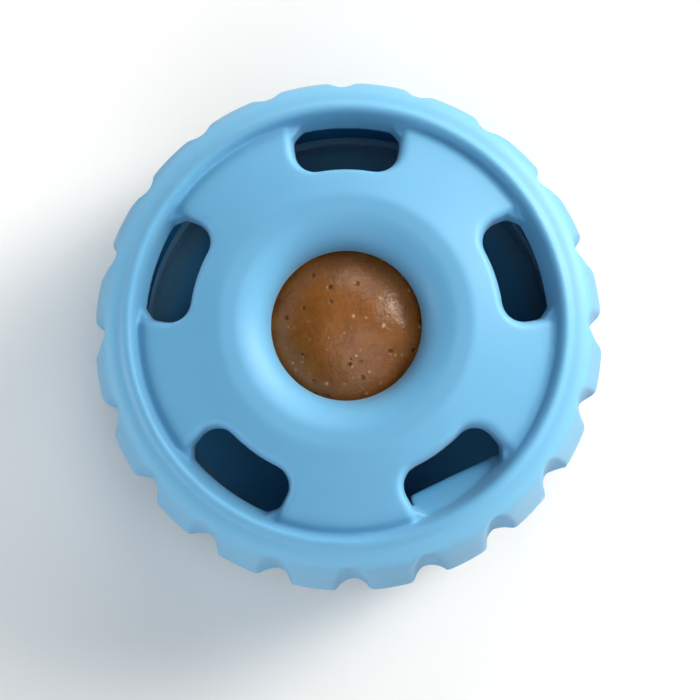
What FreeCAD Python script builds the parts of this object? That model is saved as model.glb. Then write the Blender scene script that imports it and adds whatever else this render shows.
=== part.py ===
import FreeCAD, Part
import math
import os
from FreeCAD import Vector

# Treat dispensing toy: two rubber halves of one outline screw together round a ball of treat.
# The upper half has five slots through its dome. The lower half's dome is closed.
# Millimetres. Z is the axis through both mouths, and z = 0 is the flat ring that the toy stands on.
# Each half is drawn above its own seam plane, then placed on the seam of the whole toy.

# Overall
half_height = 30.0
belt_radius = 51.0
seam_gap = 0.3

# Mouth and dome of a half
mouth_radius = 14.7
crest_rounding = 8.4
dome_slope = 21.0
rest_ring_width = 3.0
wall = 5.0
mouth_lip_rounding = 0.6
inside_rounding = 2.5

# Rim of a half, with insets from the belt: top of the belt, raised lip, valley round the dome
belt_bulge_inset = 0.5
belt_bulge_height = 7.0
belt_bulge_rounding = 60.0
belt_shoulder_inset = 2.9
belt_shoulder_drop = 1.3
belt_shoulder_rounding = 5.0
lip_foot_inset = 6.6
lip_foot_drop = 2.2
lip_foot_rounding = 1.0
lip_inset = 8.2
lip_height = 3.4
lip_rounding = 1.1
valley_inset = 9.9
valley_depth = 1.0
dome_shoulder_width = 1.5
dome_shoulder_rounding = 2.5
seam_edge_chamfer = 0.4

# Slots through the upper dome, measured at its outer face, with the width where they meet the valley
slot_count = 5
slot_first_angle = 18.0
slot_inner_radius = 30.1
slot_width = 24.4
slot_flare = 9.0
slot_corner = 5.0
slot_draft = 8.0
slot_edge_rounding = 1.5
slot_wall_drop = 3.2
slot_wall_rounding = 0.8

# Ramp on the outer side of one slot, wide at one end of the slot and narrow at the other
ramp_slot = 4
ramp_wide = 7.6
ramp_narrow = 3.1
ramp_drop = 4.5
ramp_nose_rounding = 2.0
ramp_thickness = 2.5
ramp_root = 1.5

# Notches round the belt, in line across the seam when the toy is closed
lug_count = 20
notch_first_angle = 1.0
notch_depth = 2.7
notch_rounding = 3.6
notch_draft = 2.3

# Thread rings, moulded into the belt
belt_wall = 5.5
ring_height = 12.2
ring_wall = 1.5
bond_gap = 0.05
key_count = 8
key_width = 9.0
key_depth = 1.1
key_bottom = 6.5
key_height = 2.2
collar_height = 10.4
collar_web = 2.4
stop_height = 1.3
thread_starts = 2
thread_lead = 10.0
thread_depth = 1.0
thread_clearance = 0.3
thread_root_gap = 0.4
thread_flank_slope = 0.35
thread_turn = 0.6
thread_bottom = 2.0
thread_overlap = 0.3

# Treat
treat_radius = 26.0
treat_gap = 0.3

AXIS = Vector(0, 0, 1)
ORIGIN = Vector(0, 0, 0)


def rounded_face(corners):
    """Closed face in the XZ plane: straight runs between corners (x, z, rounding) with tangent arcs."""
    points = [Vector(x, 0, z) for x, z, rounding in corners]
    count = len(corners)
    entries, exits, arcs = [], [], []
    for i, (x, z, rounding) in enumerate(corners):
        here = points[i]
        back = (points[i - 1] - here).normalize()
        ahead = (points[(i + 1) % count] - here).normalize()
        half_angle = math.acos(max(-1.0, min(1.0, back.dot(ahead)))) / 2
        if rounding <= 0:
            entries.append(here)
            exits.append(here)
            arcs.append(None)
            continue
        reach = rounding / math.tan(half_angle)
        middle = here + (back + ahead).normalize() * (rounding / math.sin(half_angle) - rounding)
        entries.append(here + back * reach)
        exits.append(here + ahead * reach)
        arcs.append(Part.Arc(entries[-1], middle, exits[-1]).toShape())
    edges = []
    for i in range(count):
        if arcs[i] is not None:
            edges.append(arcs[i])
        start, end = exits[i], entries[(i + 1) % count]
        if start.distanceToPoint(end) > 1e-6:
            edges.append(Part.LineSegment(start, end).toShape())
    return Part.Face(Part.Wire(Part.__sortEdges__(edges)))


def turned(corners):
    """Solid of revolution round the toy's axis."""
    return rounded_face(corners).revolve(ORIGIN, AXIS, 360)


def around(shape, count, first_angle=0.0):
    """Copies of a shape, evenly round the axis."""
    copies = []
    for i in range(count):
        copy = shape.copy()
        copy.rotate(ORIGIN, AXIS, first_angle + i * 360.0 / count)
        copies.append(copy)
    return copies


# Radii worked out from the belt inwards

valley_radius = belt_radius - valley_inset
ring_outer_radius = belt_radius - belt_wall
ring_bore_radius = ring_outer_radius - ring_wall
collar_outer_radius = ring_bore_radius - thread_root_gap - thread_depth
collar_inner_radius = collar_outer_radius - ring_wall
cavity_radius = valley_radius

# The dome's cone and the surfaces parallel to it

crest_flat_drop = crest_rounding - math.sqrt(crest_rounding**2 - (rest_ring_width / 2) ** 2)
crest_radius = mouth_radius + crest_rounding
crest_centre_height = half_height + crest_flat_drop - crest_rounding
slope = math.radians(dome_slope)


def dome_height(radius, depth=0.0):
    """Height of the dome's cone at a radius, or of the surface at a depth below it."""
    reach = crest_rounding - depth - (radius - crest_radius) * math.sin(slope)
    return crest_centre_height + reach / math.cos(slope)


shoulder_radius = valley_radius - dome_shoulder_width
valley_height = dome_height(valley_radius) - valley_depth


def dome_blank():
    """Dome with its mouth, solid below, and carried on past the valley so that slot edges round whole."""
    past = 2 * slot_edge_rounding
    fall = (dome_height(shoulder_radius) - valley_height) / dome_shoulder_width
    return turned(
        [
            (mouth_radius, dome_height(mouth_radius), crest_rounding),
            (shoulder_radius, dome_height(shoulder_radius), dome_shoulder_rounding),
            (valley_radius + past, valley_height - past * fall, 0),
            (valley_radius + past, 0, 0),
            (mouth_radius, 0, 0),
        ]
    )


def rim_blank():
    """Rim and belt, solid below. The lip's inner side runs on down past the valley, as the slots' outer wall."""
    bottom = seam_gap / 2
    lip_top = valley_height + lip_height
    foot_height = lip_top - lip_foot_drop
    slot_wall_radius = valley_radius - slot_wall_drop * (valley_inset - lip_inset) / lip_height
    return turned(
        [
            (slot_wall_radius, valley_height - slot_wall_drop, slot_wall_rounding),
            (belt_radius - lip_inset, lip_top, lip_rounding),
            (belt_radius - lip_foot_inset, foot_height, lip_foot_rounding),
            (belt_radius - belt_shoulder_inset, foot_height - belt_shoulder_drop, belt_shoulder_rounding),
            (belt_radius - belt_bulge_inset, belt_bulge_height, belt_bulge_rounding),
            (belt_radius, bottom + seam_edge_chamfer, 0),
            (belt_radius - seam_edge_chamfer, bottom, 0),
            (slot_wall_radius, bottom, 0),
        ]
    )


def cavity():
    """Space inside a half, up to the dome's wall and the treat's seat."""
    seat_reach = treat_radius + treat_gap
    seat_angle = math.asin((mouth_radius + wall / 2) / seat_reach)

    def seat_height(radius):
        return (seat_reach - radius * math.sin(seat_angle)) / math.cos(seat_angle)

    mouth_outer_radius = mouth_radius + wall
    inside = turned(
        [
            (mouth_outer_radius, dome_height(mouth_outer_radius, wall), inside_rounding),
            (cavity_radius, dome_height(cavity_radius, wall), inside_rounding),
            (cavity_radius, 0, 0),
            (mouth_radius, 0, 0),
            (mouth_radius, seat_height(mouth_radius), 0),
            (mouth_outer_radius, seat_height(mouth_outer_radius), mouth_lip_rounding),
        ]
    )
    return inside.fuse(Part.makeCylinder(mouth_radius, half_height))


def slot_outline(height):
    """A slot's outline on the +X side at a height: flared ends, inner edge on a circle, open outwards."""
    growth = (height - dome_height(slot_inner_radius)) * math.tan(math.radians(slot_draft))
    half_width = slot_width / 2 + growth
    inner = slot_inner_radius - growth
    corner = slot_corner + growth
    flare = math.radians(slot_flare)
    along_end = Vector(math.cos(flare), math.sin(flare), 0)
    across_end = Vector(-math.sin(flare), math.cos(flare), 0)
    offset = half_width * math.cos(flare) - valley_radius * math.sin(flare) - corner
    centre = along_end * math.sqrt((inner + corner) ** 2 - offset**2) + across_end * offset
    outwards = Vector(centre).normalize()
    past = 3 * slot_edge_rounding
    corners = [
        Vector(valley_radius + past, half_width + past * math.tan(flare), 0),
        centre + across_end * corner,
        centre + (across_end - outwards).normalize() * corner,
        outwards * inner,
    ]
    upper = [point + Vector(0, 0, height) for point in corners]
    lower = [Vector(point.x, -point.y, height) for point in corners]
    edges = [
        Part.LineSegment(upper[0], upper[1]),
        Part.Arc(upper[1], upper[2], upper[3]),
        Part.Arc(upper[3], Vector(inner, 0, height), lower[3]),
        Part.Arc(lower[3], lower[2], lower[1]),
        Part.LineSegment(lower[1], lower[0]),
        Part.LineSegment(lower[0], upper[0]),
    ]
    return Part.Wire([edge.toShape() for edge in edges])


def slot_cutter():
    """One slot on the +X side, wider upwards by its draft."""
    return Part.makeLoft([slot_outline(ring_height), slot_outline(half_height)], True, True)


def ramp():
    """Ramp in its slot: a shelf on the belt's wall that slopes from the valley down to a rounded nose."""
    turn = math.atan2(ramp_wide - ramp_narrow, slot_width)
    run = ramp_wide * math.cos(turn)
    nose_height = valley_height - ramp_drop
    reach = run + ramp_root
    bottom = nose_height - ramp_thickness
    profile = rounded_face(
        [
            (0, bottom, 0),
            (0, nose_height, ramp_nose_rounding),
            (reach, nose_height + ramp_drop * reach / run, 0),
            (reach, bottom, 0),
        ]
    )
    shelf = profile.extrude(Vector(0, 2 * slot_width, 0))
    shelf.translate(Vector(0, -slot_width, 0))
    shelf.rotate(ORIGIN, AXIS, -math.degrees(turn))
    shelf.translate(Vector(valley_radius - (ramp_wide + ramp_narrow) / 2, 0, 0))
    shelf = shelf.common(slot_cutter()).common(Part.makeCylinder(valley_radius + ramp_root, half_height))
    shelf.rotate(ORIGIN, AXIS, slot_first_angle + ramp_slot * 360.0 / slot_count)
    return shelf


def slotted_dome():
    """Dome blank with its slots cut and their outer edges rounded."""
    blank = dome_blank()
    cutters = around(slot_cutter(), slot_count, slot_first_angle)
    dome = blank.cut(cutters)

    def on_both(edge):
        start, end = edge.ParameterRange
        middle = Part.Vertex(edge.valueAt((start + end) / 2))
        if middle.distToShape(blank.Shells[0])[0] > 1e-4:
            return False
        return min(middle.distToShape(cutter.Shells[0])[0] for cutter in cutters) < 1e-4

    return dome.makeFillet(slot_edge_rounding, [edge for edge in dome.Edges if on_both(edge)])


def notch_cutter():
    """One notch on the +X side: a round groove that leans in with the belt's draft."""
    lean = math.radians(notch_draft)
    base = Vector(belt_radius - notch_depth + notch_rounding, 0, 0)
    along = Vector(-math.sin(lean), 0, math.cos(lean))
    return Part.makeCylinder(notch_rounding, half_height, base - along, along)


def keys(growth=0.0):
    """Keys round a ring that hold it in the rubber, or the space for them."""
    key = Part.makeBox(
        ring_wall / 2 + key_depth + growth,
        key_width + 2 * growth,
        key_height + 2 * growth,
        Vector(ring_outer_radius - ring_wall / 2, -key_width / 2 - growth, key_bottom - growth),
    )
    rim = Part.makeCylinder(ring_outer_radius + key_depth + growth, ring_height)
    return [copy.common(rim) for copy in around(key, key_count)]


def half_shell(dome, first_notch_angle):
    """Rubber half round a dome, seam down, on its own seam plane."""
    shell = dome.common(Part.makeCylinder(valley_radius, half_height)).fuse(rim_blank())
    seat = Part.makeCylinder(ring_outer_radius + bond_gap, ring_height + bond_gap)
    notches = around(notch_cutter(), lug_count, first_notch_angle)
    shell = shell.cut([cavity(), seat] + keys(bond_gap) + notches)
    above = Part.makeCylinder(belt_radius, half_height, Vector(0, 0, half_height))
    return shell.cut(above)


def thread_ridges(radius, depth, first_angle):
    """Helical ridges from a wall at a radius: outward for a positive depth, inward for a negative one."""
    into_wall = -math.copysign(thread_overlap, depth)
    pitch = thread_lead / thread_starts
    root_span = thread_depth + thread_root_gap
    root_half = (pitch / 2 - thread_clearance + thread_flank_slope * root_span) / 2
    base_half = root_half + thread_flank_slope * thread_overlap
    crest_half = root_half - thread_flank_slope * thread_depth
    z = thread_bottom
    section = Part.makePolygon(
        [
            Vector(radius + into_wall, 0, z - base_half),
            Vector(radius + depth, 0, z - crest_half),
            Vector(radius + depth, 0, z + crest_half),
            Vector(radius + into_wall, 0, z + base_half),
            Vector(radius + into_wall, 0, z - base_half),
        ]
    )
    helix = Part.makeHelix(thread_lead, thread_lead * thread_turn, radius)
    helix.translate(Vector(0, 0, z))
    ridge = Part.Wire(helix.Edges).makePipeShell([section], True, True)
    return around(ridge, thread_starts, first_angle)


def ring_anchor(inner_radius):
    """The part of a ring that is moulded into the rubber, above its seam plane, with its keys."""
    ring = turned(
        [
            (inner_radius, seam_gap / 2, 0),
            (ring_outer_radius, seam_gap / 2, 0),
            (ring_outer_radius, ring_height, 0),
            (inner_radius, ring_height, 0),
        ]
    )
    hollow = Part.makeCylinder(ring_bore_radius, ring_height)
    return ring.fuse([key.cut(hollow) for key in keys()])


def upper_thread_ring():
    """Nut half of the thread: ridges inside, and a stop flange above the collar's top."""
    ring = ring_anchor(ring_bore_radius)
    stop = turned(
        [
            (cavity_radius, ring_height - stop_height, 0),
            (ring_bore_radius + ring_wall / 2, ring_height - stop_height, 0),
            (ring_bore_radius + ring_wall / 2, ring_height, 0),
            (cavity_radius, ring_height, 0),
        ]
    )
    quarter_phase = 180.0 / thread_starts
    ridges = thread_ridges(ring_bore_radius, -thread_depth, quarter_phase)
    return ring.fuse([stop] + ridges).removeSplitter()


def lower_thread_ring():
    """Screw half of the thread: the anchor, a web at the seam, and a collar with ridges outside."""
    anchor = turned_over(ring_anchor(ring_bore_radius))
    collar = turned(
        [
            (collar_inner_radius, -seam_gap / 2 - collar_web, 0),
            (ring_bore_radius + ring_wall / 2, -seam_gap / 2 - collar_web, 0),
            (ring_bore_radius + ring_wall / 2, -seam_gap / 2, 0),
            (collar_outer_radius, -seam_gap / 2, 0),
            (collar_outer_radius, collar_height, 0),
            (collar_inner_radius, collar_height, 0),
        ]
    )
    return anchor.fuse([collar] + thread_ridges(collar_outer_radius, thread_depth, 0.0)).removeSplitter()


def turned_over(shape):
    """A half's shape turned over about the X axis, onto the other side of the seam."""
    copy = shape.copy()
    copy.rotate(ORIGIN, Vector(1, 0, 0), 180)
    return copy


def treat_ball():
    return Part.makeSphere(treat_radius)


def save(name, shape):
    shape.translate(Vector(0, 0, half_height))
    if not shape.isValid():
        raise ValueError(name + " is not a valid solid")
    shape.exportStep(os.path.join("parts", name + ".step"))
    box = shape.BoundBox
    print(name, len(shape.Solids), "solid", round(shape.Volume, 1), "mm3",
          [round(v, 2) for v in (box.XMin, box.YMin, box.ZMin, box.XMax, box.YMax, box.ZMax)])


os.makedirs("parts", exist_ok=True)
save("lower_shell", turned_over(half_shell(dome_blank(), -notch_first_angle)))
save("upper_shell", half_shell(slotted_dome(), notch_first_angle).fuse(ramp()))
save("upper_thread_ring", upper_thread_ring())
save("lower_thread_ring", lower_thread_ring())
save("treat_ball", treat_ball())
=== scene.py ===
import math

import bpy
from mathutils import Matrix, Vector


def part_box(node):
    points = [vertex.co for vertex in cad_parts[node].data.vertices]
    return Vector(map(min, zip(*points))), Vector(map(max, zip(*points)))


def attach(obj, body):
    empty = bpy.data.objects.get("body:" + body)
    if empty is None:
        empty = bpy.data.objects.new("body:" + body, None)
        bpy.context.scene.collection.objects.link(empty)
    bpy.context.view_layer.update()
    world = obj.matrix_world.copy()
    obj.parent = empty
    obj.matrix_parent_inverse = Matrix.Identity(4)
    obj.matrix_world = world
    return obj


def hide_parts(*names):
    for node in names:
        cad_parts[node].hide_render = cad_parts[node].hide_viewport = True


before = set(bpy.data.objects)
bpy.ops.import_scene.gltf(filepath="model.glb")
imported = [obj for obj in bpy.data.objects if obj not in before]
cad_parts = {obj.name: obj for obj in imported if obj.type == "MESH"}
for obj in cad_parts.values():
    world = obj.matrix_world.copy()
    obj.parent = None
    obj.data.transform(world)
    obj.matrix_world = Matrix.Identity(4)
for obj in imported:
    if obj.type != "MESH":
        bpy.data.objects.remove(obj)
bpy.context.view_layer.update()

print("frame loaded")


# Small helpers

def deselectAll():
    for obj in bpy.context.selected_objects:
        obj.select_set(False)


def pick(obj):
    deselectAll()
    bpy.context.view_layer.objects.active = obj
    obj.select_set(True)


def applyModifiers(obj):
    pick(obj)
    for modifier in list(obj.modifiers):
        bpy.ops.object.modifier_apply(modifier=modifier.name)


def applyPlace(obj):
    pick(obj)
    bpy.ops.object.transform_apply(location=True, rotation=True, scale=True)


def copyOfNode(nodeName, pieceName, mergeDistance):
    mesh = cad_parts[nodeName].data.copy()
    obj = bpy.data.objects.new(pieceName, mesh)
    bpy.context.scene.collection.objects.link(obj)
    mesh.name = pieceName
    pick(obj)
    bpy.ops.mesh.customdata_custom_splitnormals_clear()
    bpy.ops.object.mode_set(mode="EDIT")
    bpy.ops.mesh.select_all(action="SELECT")
    bpy.ops.mesh.remove_doubles(threshold=mergeDistance)
    bpy.ops.object.mode_set(mode="OBJECT")
    return obj


def newMaterial(name):
    material = bpy.data.materials.new(name)
    material.use_nodes = True
    tree = material.node_tree
    shader = tree.nodes["Principled BSDF"]
    return material, tree, shader


def node(tree, kind, inputs=None, **settings):
    made = tree.nodes.new(kind)
    for key, value in settings.items():
        setattr(made, key, value)
    for key, value in (inputs or {}).items():
        if isinstance(value, bpy.types.NodeSocket):
            tree.links.new(value, made.inputs[key])
        else:
            made.inputs[key].default_value = value
    return made


def noise(tree, place, size, detail=2.0, roughness=0.5):
    inputs = {"Vector": place, "Scale": 1 / size, "Detail": detail, "Roughness": roughness}
    return node(tree, "ShaderNodeTexNoise", inputs).outputs["Fac"]


def spread(tree, value, fromLow, fromHigh, toLow, toHigh):  # turns one range of values into another
    limits = {"Value": value, "From Min": fromLow, "From Max": fromHigh, "To Min": toLow, "To Max": toHigh}
    return node(tree, "ShaderNodeMapRange", limits).outputs["Result"]


noiseRange = (0.3, 0.7)  # most of a noise pattern's values lie between these


def fromNoise(tree, value, low, high):
    return spread(tree, value, *noiseRange, low, high)


def blendColour(tree, share, first, second):
    mix = node(tree, "ShaderNodeMix", {"Factor": share}, data_type="RGBA")
    # its sockets 6 and 7 and its output 2 are the ones for colours
    for socket, value in ((mix.inputs[6], first), (mix.inputs[7], second)):
        if isinstance(value, bpy.types.NodeSocket):
            tree.links.new(value, socket)
        else:
            socket.default_value = value
    return mix.outputs[2]


def calculated(tree, operation, *terms):
    return node(tree, "ShaderNodeMath", dict(enumerate(terms)), operation=operation).outputs["Value"]


def squared(tree, value):
    return calculated(tree, "MULTIPLY", value, value)


def bumped(tree, height, distance, normal=None, strength=1.0):
    inputs = {"Height": height, "Distance": distance, "Strength": strength}
    if normal is not None:
        inputs["Normal"] = normal
    return node(tree, "ShaderNodeBump", inputs).outputs["Normal"]


# Camera, at the photograph's place above the toy

cameraPlace = {
    "focalLength": 209.4,
    "sensorWidth": 36,
    "clipNear": 0.05,
    "clipFar": 20,
    "distance": 0.820,
    "tiltToFront": 6.0,
    "tiltToRight": 1.07,
    "seamHeight": 0.030,
    "aimRight": 0.0003,
    "aimDown": 0.00249,
}


def placeCamera():
    data = bpy.data.cameras.new("studioCamera")
    data.lens = cameraPlace["focalLength"]
    data.sensor_width = cameraPlace["sensorWidth"]
    data.clip_start = cameraPlace["clipNear"]
    data.clip_end = cameraPlace["clipFar"]
    camera = bpy.data.objects.new("studioCamera", data)
    bpy.context.scene.collection.objects.link(camera)
    seamCentre = Vector((0, 0, cameraPlace["seamHeight"]))
    front = math.radians(cameraPlace["tiltToFront"])
    side = math.radians(cameraPlace["tiltToRight"])
    away = Vector((math.tan(side), -math.tan(front), 1)).normalized()
    place = seamCentre + away * cameraPlace["distance"]
    # the aim is set a little off the seam's centre, across and down the picture
    right = away.cross(Vector((0, -1, 0))).normalized()
    up = away.cross(right)
    aim = seamCentre + right * cameraPlace["aimRight"] - up * cameraPlace["aimDown"]
    backward = (place - aim).normalized()
    right = Vector((0, 1, 0)).cross(backward).normalized()
    up = backward.cross(right)
    turn = Matrix((right, up, backward)).transposed()
    camera.matrix_world = Matrix.Translation(place) @ turn.to_4x4()
    bpy.context.scene.camera = camera


placeCamera()
print("camera placed")


# Rubber halves

rubberLook = {
    "colour": (0.132, 0.41, 0.665, 1),
    "deepColour": (0.124, 0.39, 0.645, 1),
    # painted light: a lighter belt colour stands in for the side light the belt catches
    "beltLitColour": (0.168, 0.465, 0.72, 1),
    "beltFrom": 0.0425,
    "beltFull": 0.0465,
    # painted light: a brighter, deeper blue for the hollow stands in for light bounced round inside it
    "insideGlowColour": (0.09, 0.48, 0.88, 1),
    "innerRadius": 0.0385,
    "innerMiddle": 0.0275,
    "innerHeight": 0.022,
    "innerFade": 0.0015,
    "patchSize": 0.014,
    "cloudsPerPatch": 3,
    "smoothest": 0.45,
    "roughest": 0.53,
    "gloss": 0.4,
    "bloom": 0.16,
    "bloomRoughness": 0.5,
    "grainSize": 0.0003,
    "grainDetail": 3,
    "grainHeight": 0.00001,
    "grainStrength": 0.5,
}


def insideShare(tree, radius, z):  # 1 in the hollow round the treat, where a brighter colour stands in for light bounced inside, 0 outside
    height = calculated(tree, "ABSOLUTE", calculated(tree, "SUBTRACT", z, rubberLook["innerMiddle"]))
    fade = rubberLook["innerFade"]
    nearAxis = spread(tree, radius, rubberLook["innerRadius"] - fade, rubberLook["innerRadius"], 1, 0)
    nearMiddle = spread(tree, height, rubberLook["innerHeight"] - fade, rubberLook["innerHeight"], 1, 0)
    return calculated(tree, "MULTIPLY", nearAxis, nearMiddle)


def makeRubber():
    material, tree, shader = newMaterial("softBlueRubber")
    place = node(tree, "ShaderNodeTexCoord").outputs["Object"]
    patches = fromNoise(tree, noise(tree, place, rubberLook["patchSize"]), 0, 1)
    colour = blendColour(tree, patches, rubberLook["colour"], rubberLook["deepColour"])
    parts = node(tree, "ShaderNodeSeparateXYZ", {"Vector": place}).outputs
    squares = calculated(tree, "ADD", squared(tree, parts["X"]), squared(tree, parts["Y"]))
    radius = calculated(tree, "SQRT", squares)
    beltLight = spread(tree, radius, rubberLook["beltFrom"], rubberLook["beltFull"], 0, 1)
    colour = blendColour(tree, beltLight, colour, rubberLook["beltLitColour"])  # painted light: the belt is coloured lighter for the side light it catches
    inside = insideShare(tree, radius, parts["Z"])
    colour = blendColour(tree, inside, colour, rubberLook["insideGlowColour"])  # painted light: the hollow is coloured brighter and deeper blue for the light bounced round inside it
    tree.links.new(colour, shader.inputs["Base Color"])
    cloudy = noise(tree, place, rubberLook["patchSize"] / rubberLook["cloudsPerPatch"])
    roughness = fromNoise(tree, cloudy, rubberLook["smoothest"], rubberLook["roughest"])
    tree.links.new(roughness, shader.inputs["Roughness"])
    grain = noise(tree, place, rubberLook["grainSize"], rubberLook["grainDetail"])
    skin = bumped(tree, grain, rubberLook["grainHeight"], strength=rubberLook["grainStrength"])
    tree.links.new(skin, shader.inputs["Normal"])
    shader.inputs["Specular IOR Level"].default_value = rubberLook["gloss"]
    shader.inputs["Sheen Weight"].default_value = rubberLook["bloom"]  # the dull bloom that rubber has
    shader.inputs["Sheen Roughness"].default_value = rubberLook["bloomRoughness"]
    return material


rubberShape = {
    "mergeDistance": 0.000002,
    "voxel": {"upper_shell": 0.00036, "lower_shell": 0.00036},
    "quickVoxel": 0.0007,
    "smoothFactor": 0.5,
    "smoothing": 8,
    "lugSmoothing": 24,
    "lugRadius": 0.0475,
    "lugFade": 0.0012,
    "lugLevels": 8,
    "mostTriangles": 190000,
}

slotCorner = {
    "slots": 5,
    "firstAngle": 18,
    "outwards": 0.03853,
    "across": 0.01075,
    "height": 0.0506,
    "lean": 26.6,
    "turn": 57.3,
    "sides": 3,
    "radius": 0.0026,
    "length": 0.0034,
}


def makeSlotCorners():  # small prisms that round the slots' outer corners once they are remeshed in
    corners = []
    for slotNumber in range(slotCorner["slots"]):
        slotAngle = math.radians(slotCorner["firstAngle"] + 360 / slotCorner["slots"] * slotNumber)
        for side in (-1, 1):
            deselectAll()
            sides, radius, length = (slotCorner[key] for key in ("sides", "radius", "length"))
            bpy.ops.mesh.primitive_cylinder_add(vertices=sides, radius=radius, depth=length)
            corner = bpy.context.object
            place = Vector((slotCorner["outwards"], side * slotCorner["across"], slotCorner["height"]))
            corner.matrix_world = (
                Matrix.Rotation(slotAngle, 4, "Z")
                @ Matrix.Translation(place)
                @ Matrix.Rotation(math.radians(slotCorner["lean"]), 4, "Y")
                @ Matrix.Rotation(math.radians(side * slotCorner["turn"] - 90), 4, "Z")
            )
            applyPlace(corner)
            corners.append(corner)
    return corners


def groupLugs(obj):  # the belt's outer skin, fading in over a short depth
    group = obj.vertex_groups.new(name="lugs")
    inner, fade = rubberShape["lugRadius"], rubberShape["lugFade"]
    levels = rubberShape["lugLevels"]
    bands = [[] for _ in range(levels + 1)]
    for vertex in obj.data.vertices:
        share = (math.hypot(vertex.co.x, vertex.co.y) - inner) / fade
        bands[round(max(0, min(1, share)) * levels)].append(vertex.index)
    for level, band in enumerate(bands):
        group.add(band, level / levels, "REPLACE")
    return group


def smoothed(obj, iterations, group=None):
    smooth = obj.modifiers.new("smooth", "SMOOTH")
    smooth.factor = rubberShape["smoothFactor"]
    smooth.iterations = iterations
    if group is not None:
        smooth.vertex_group = group.name
    applyModifiers(obj)


def makeRubberHalf(nodeName, pieceName, body, material, extras):
    obj = copyOfNode(nodeName, pieceName, rubberShape["mergeDistance"])
    pick(obj)
    for extra in extras:
        extra.select_set(True)
    if extras:
        bpy.ops.object.join()
    remesh = obj.modifiers.new("soften", "REMESH")
    remesh.mode = "VOXEL"
    remesh.voxel_size = rubberShape["voxel"][nodeName]
    applyModifiers(obj)
    smoothed(obj, rubberShape["smoothing"])
    smoothed(obj, rubberShape["lugSmoothing"], groupLugs(obj))
    triangles = 2 * len(obj.data.polygons)  # the remesh leaves four-sided faces
    if triangles > rubberShape["mostTriangles"]:
        decimate = obj.modifiers.new("lighten", "DECIMATE")
        decimate.ratio = rubberShape["mostTriangles"] / triangles
        applyModifiers(obj)
    pick(obj)
    bpy.ops.object.shade_smooth()
    obj.data.materials.clear()
    obj.data.materials.append(material)
    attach(obj, body)
    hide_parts(nodeName)
    obj.data.calc_loop_triangles()
    print(pieceName, "has", len(obj.data.loop_triangles), "triangles")


rubber = makeRubber()
makeRubberHalf("upper_shell", "rubberUpper", "upper_half", rubber, makeSlotCorners())
makeRubberHalf("lower_shell", "rubberLower", "lower_half", rubber, [])


# Thread rings, as the frame has them

nylonLook = {
    "colour": (0.03, 0.3, 0.7, 1),
    "deepColour": (0.027, 0.28, 0.66, 1),
    "patchSize": 0.006,
    "smoothest": 0.42,
    "roughest": 0.5,
    "gloss": 0.25,
    "grainSize": 0.0002,
    "grainHeight": 0.000005,
    "grainStrength": 0.5,
}


def makeNylon():
    material, tree, shader = newMaterial("blueNylon")
    place = node(tree, "ShaderNodeTexCoord").outputs["Object"]
    patches = noise(tree, place, nylonLook["patchSize"])
    colour = blendColour(tree, patches, nylonLook["colour"], nylonLook["deepColour"])
    tree.links.new(colour, shader.inputs["Base Color"])
    roughness = fromNoise(tree, patches, nylonLook["smoothest"], nylonLook["roughest"])
    tree.links.new(roughness, shader.inputs["Roughness"])
    grain = noise(tree, place, nylonLook["grainSize"])
    skin = bumped(tree, grain, nylonLook["grainHeight"], strength=nylonLook["grainStrength"])
    tree.links.new(skin, shader.inputs["Normal"])
    shader.inputs["Specular IOR Level"].default_value = nylonLook["gloss"]
    return material


nylon = makeNylon()
for ringName in ("lower_thread_ring", "upper_thread_ring"):
    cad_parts[ringName].material_slots[0].material = nylon
print("rubber and rings made")


# Treat ball

treatShape = {
    "subdivisions": 7,
    "softDents": {"size": 0.0075, "depth": 0.00035},
    "lumps": {"size": 0.0026, "depth": 0.00013},
    "pores": {"size": 0.0011, "depth": 0.00005},
}

treatLook = {
    "colour": (0.275, 0.1, 0.02, 1),
    "darkColour": (0.17, 0.05, 0.009, 1),
    "pitColour": (0.095, 0.032, 0.007, 1),
    "seedColour": (0.5, 0.29, 0.13, 1),
    "crumbColour": (0.42, 0.22, 0.09, 1),
    "mottleSize": 0.0045,
    "mottleDetail": 4,
    "mottleRange": (0.35, 0.65),
    "fineMottleSize": 0.0011,
    "fineMottleDetail": 3,
    "mottleRoughness": 0.6,
    "seeds": {"spacing": 0.0027, "radius": 0.11, "share": 0.75},
    "crumbs": {"spacing": 0.0014, "radius": 0.16, "share": 0.3},
    "pits": {"spacing": 0.003, "radius": 0.12, "share": 0.8},
    "speckSizes": (0.6, 1.3),
    "speckEdge": (0.5, 1.5),
    "secondPattern": (0.013, 0.007, 0.003),
    "pitDepth": 0.00022,
    "seedHeight": 0.00008,
    "grainSize": 0.0006,
    "grainHeight": 0.00007,
    "smoothest": 0.2,
    "roughest": 0.33,
    "gloss": 0.42,
}


def scattered(tree, place, spacing, radius, share):  # a speck of its own size in a share of the cells
    cells = node(tree, "ShaderNodeTexVoronoi", {"Vector": place, "Scale": 1 / spacing})
    chance = node(tree, "ShaderNodeSeparateColor", {"Color": cells.outputs["Color"]})
    size = spread(tree, chance.outputs["Green"], 0, 1, *treatLook["speckSizes"])
    distance = calculated(tree, "DIVIDE", cells.outputs["Distance"], size)
    solid, clear = treatLook["speckEdge"]
    dot = spread(tree, distance, radius * solid, radius * clear, 1, 0)
    return calculated(tree, "MULTIPLY", dot, calculated(tree, "LESS_THAN", chance.outputs["Red"], share))


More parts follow.
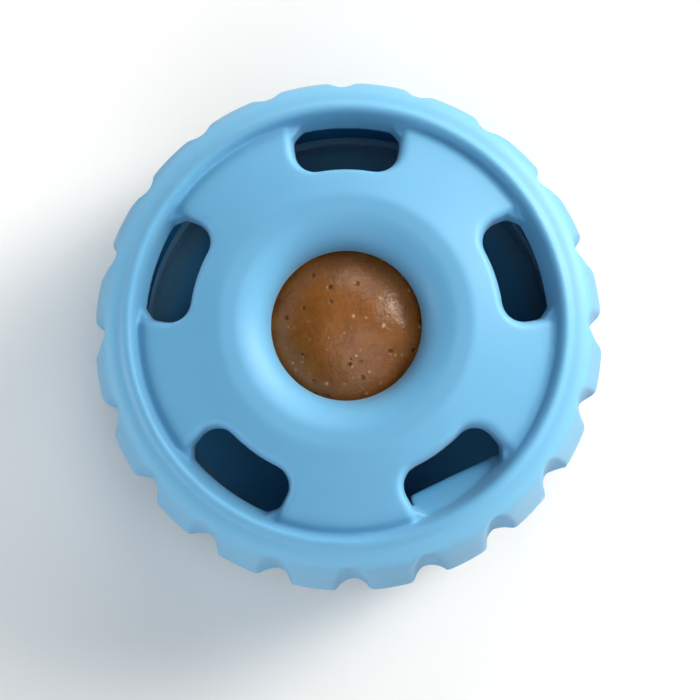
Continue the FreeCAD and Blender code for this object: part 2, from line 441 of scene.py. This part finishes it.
def makeTreatSkin():
    material, tree, shader = newMaterial("bakedTreat")
    place = node(tree, "ShaderNodeTexCoord").outputs["Object"]
    moved = node(tree, "ShaderNodeMapping", {"Vector": place, "Location": treatLook["secondPattern"]})
    shifted = moved.outputs["Vector"]
    rough = treatLook["mottleRoughness"]
    mottle = noise(tree, place, treatLook["mottleSize"], treatLook["mottleDetail"], rough)
    mottle = spread(tree, mottle, *treatLook["mottleRange"], 0, 1)
    fine = noise(tree, shifted, treatLook["fineMottleSize"], treatLook["fineMottleDetail"], rough)
    fine = fromNoise(tree, fine, 0, 1)
    darkShare = calculated(tree, "MULTIPLY", mottle, fine)
    colour = blendColour(tree, darkShare, treatLook["colour"], treatLook["darkColour"])
    crumbs = scattered(tree, shifted, **treatLook["crumbs"])
    seeds = scattered(tree, place, **treatLook["seeds"])
    pits = scattered(tree, shifted, **treatLook["pits"])
    colour = blendColour(tree, crumbs, colour, treatLook["crumbColour"])
    colour = blendColour(tree, seeds, colour, treatLook["seedColour"])
    colour = blendColour(tree, pits, colour, treatLook["pitColour"])
    tree.links.new(colour, shader.inputs["Base Color"])
    roughness = spread(tree, fine, 0, 1, treatLook["smoothest"], treatLook["roughest"])
    tree.links.new(roughness, shader.inputs["Roughness"])
    skin = bumped(tree, noise(tree, place, treatLook["grainSize"]), treatLook["grainHeight"])
    skin = bumped(tree, seeds, treatLook["seedHeight"], skin)
    flesh = calculated(tree, "SUBTRACT", 1, pits)
    tree.links.new(bumped(tree, flesh, treatLook["pitDepth"], skin), shader.inputs["Normal"])
    shader.inputs["Specular IOR Level"].default_value = treatLook["gloss"]
    return material


def makeTreat():
    low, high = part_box("treat_ball")
    radius = (high[0] - low[0]) / 2
    centre = [(a + b) / 2 for a, b in zip(low, high)]
    deselectAll()
    steps = treatShape["subdivisions"]
    bpy.ops.mesh.primitive_ico_sphere_add(subdivisions=steps, radius=radius, location=centre)
    treat = bpy.context.object
    treat.name = treat.data.name = "treatBall"
    applyPlace(treat)
    for name in ("softDents", "lumps", "pores"):
        values = treatShape[name]
        texture = bpy.data.textures.new(name, "CLOUDS")
        texture.noise_scale = values["size"]
        texture.noise_depth = 1
        displace = treat.modifiers.new(name, "DISPLACE")
        displace.texture = texture
        displace.texture_coords = "LOCAL"
        displace.mid_level = 1  # inwards only, so the treat stays within its CAD size
        displace.strength = values["depth"]
    applyModifiers(treat)
    bpy.ops.object.shade_smooth()
    treat.data.materials.append(makeTreatSkin())
    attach(treat, "treat")
    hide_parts("treat_ball")
    print("treat has", len(treat.data.polygons), "faces")


makeTreat()


# Floor and studio light

floorLook = {
    "size": 6,
    "shown": (0.97, 0.97, 0.97, 1),
    "bounced": (0.3, 0.3, 0.3, 1),
}


def makeFloor():
    deselectAll()
    bpy.ops.mesh.primitive_plane_add(size=floorLook["size"], location=(0, 0, 0))
    floor = bpy.context.object
    floor.name = "studioFloor"
    material, tree, shader = newMaterial("paleFloor")
    tree.nodes.remove(shader)
    shown = node(tree, "ShaderNodeBsdfDiffuse", {"Color": floorLook["shown"]})
    bounced = node(tree, "ShaderNodeBsdfDiffuse", {"Color": floorLook["bounced"]})
    seen = node(tree, "ShaderNodeLightPath").outputs["Is Camera Ray"]
    mix = node(tree, "ShaderNodeMixShader", {0: seen, 1: bounced.outputs[0], 2: shown.outputs[0]})
    tree.links.new(mix.outputs[0], tree.nodes["Material Output"].inputs["Surface"])
    floor.data.materials.append(material)


warmLight = (1, 0.91, 0.8)
coolLight = (0.92, 0.97, 1)

studio = {
    "key": {"azimuth": 36, "zenith": 66, "softness": 32, "strength": 1.7, "colour": warmLight},
    "lowKey": {"azimuth": 28, "zenith": 85, "softness": 34, "strength": 3.0, "colour": warmLight},
    "glint": {"azimuth": 24, "zenith": 52, "softness": 22, "strength": 1.0, "colour": (1, 0.94, 0.87)},
    "near": {"azimuth": 300, "zenith": 28, "softness": 50, "strength": 0.86, "colour": coolLight},
    "lowNear": {"azimuth": 258, "zenith": 72, "softness": 36, "strength": 0.6, "colour": coolLight},
    "far": {"azimuth": 80, "zenith": 48, "softness": 34, "strength": 0.74, "colour": coolLight},
    "left": {"azimuth": 190, "zenith": 87, "softness": 30, "strength": 1.3, "colour": coolLight},
    "top": {"azimuth": 0, "zenith": 0, "softness": 40, "strength": 0.2, "colour": coolLight},
}


def makeLamp(name, azimuth, zenith, softness, strength, colour):
    data = bpy.data.lights.new(name, "SUN")
    data.angle = math.radians(softness)
    data.energy = strength
    data.color = colour
    lamp = bpy.data.objects.new(name, data)
    bpy.context.scene.collection.objects.link(lamp)
    turn, tip = math.radians(azimuth), math.radians(zenith)
    towards = Vector((math.cos(turn) * math.sin(tip), math.sin(turn) * math.sin(tip), math.cos(tip)))
    lamp.rotation_mode = "QUATERNION"
    lamp.rotation_quaternion = towards.to_track_quat("Z", "Y")


makeFloor()
for name, values in studio.items():
    makeLamp(name + "Lamp", **values)

worldLook = {
    "glowColour": (1, 1, 1, 1),
    "horizonBrightness": 3.5,
    "fadeHeight": 0.26,
    "background": (1, 1, 1, 1),
}


def makeWorld():  # a glow that is brightest at the horizon, and a white background to the camera
    world = bpy.data.worlds.new("studioWorld")
    bpy.context.scene.world = world
    world.use_nodes = True
    tree = world.node_tree
    glow = tree.nodes["Background"]
    direction = node(tree, "ShaderNodeTexCoord").outputs["Generated"]
    height = node(tree, "ShaderNodeSeparateXYZ", {"Vector": direction}).outputs["Z"]
    fade = node(tree, "ShaderNodeMapRange", {"Value": height, "To Max": 0}, interpolation_type="SMOOTHSTEP")
    fade.inputs["From Max"].default_value = worldLook["fadeHeight"]
    fade.inputs["To Min"].default_value = worldLook["horizonBrightness"]
    tree.links.new(fade.outputs["Result"], glow.inputs["Strength"])
    glow.inputs["Color"].default_value = worldLook["glowColour"]
    backdrop = node(tree, "ShaderNodeBackground", {"Color": worldLook["background"]})
    seen = node(tree, "ShaderNodeLightPath").outputs["Is Camera Ray"]
    mix = node(tree, "ShaderNodeMixShader", {0: seen, 1: glow.outputs[0], 2: backdrop.outputs[0]})
    tree.links.new(mix.outputs[0], tree.nodes["World Output"].inputs["Surface"])


makeWorld()
print("floor, lamps and world made")

bpy.context.scene.view_settings.view_transform = "Standard"
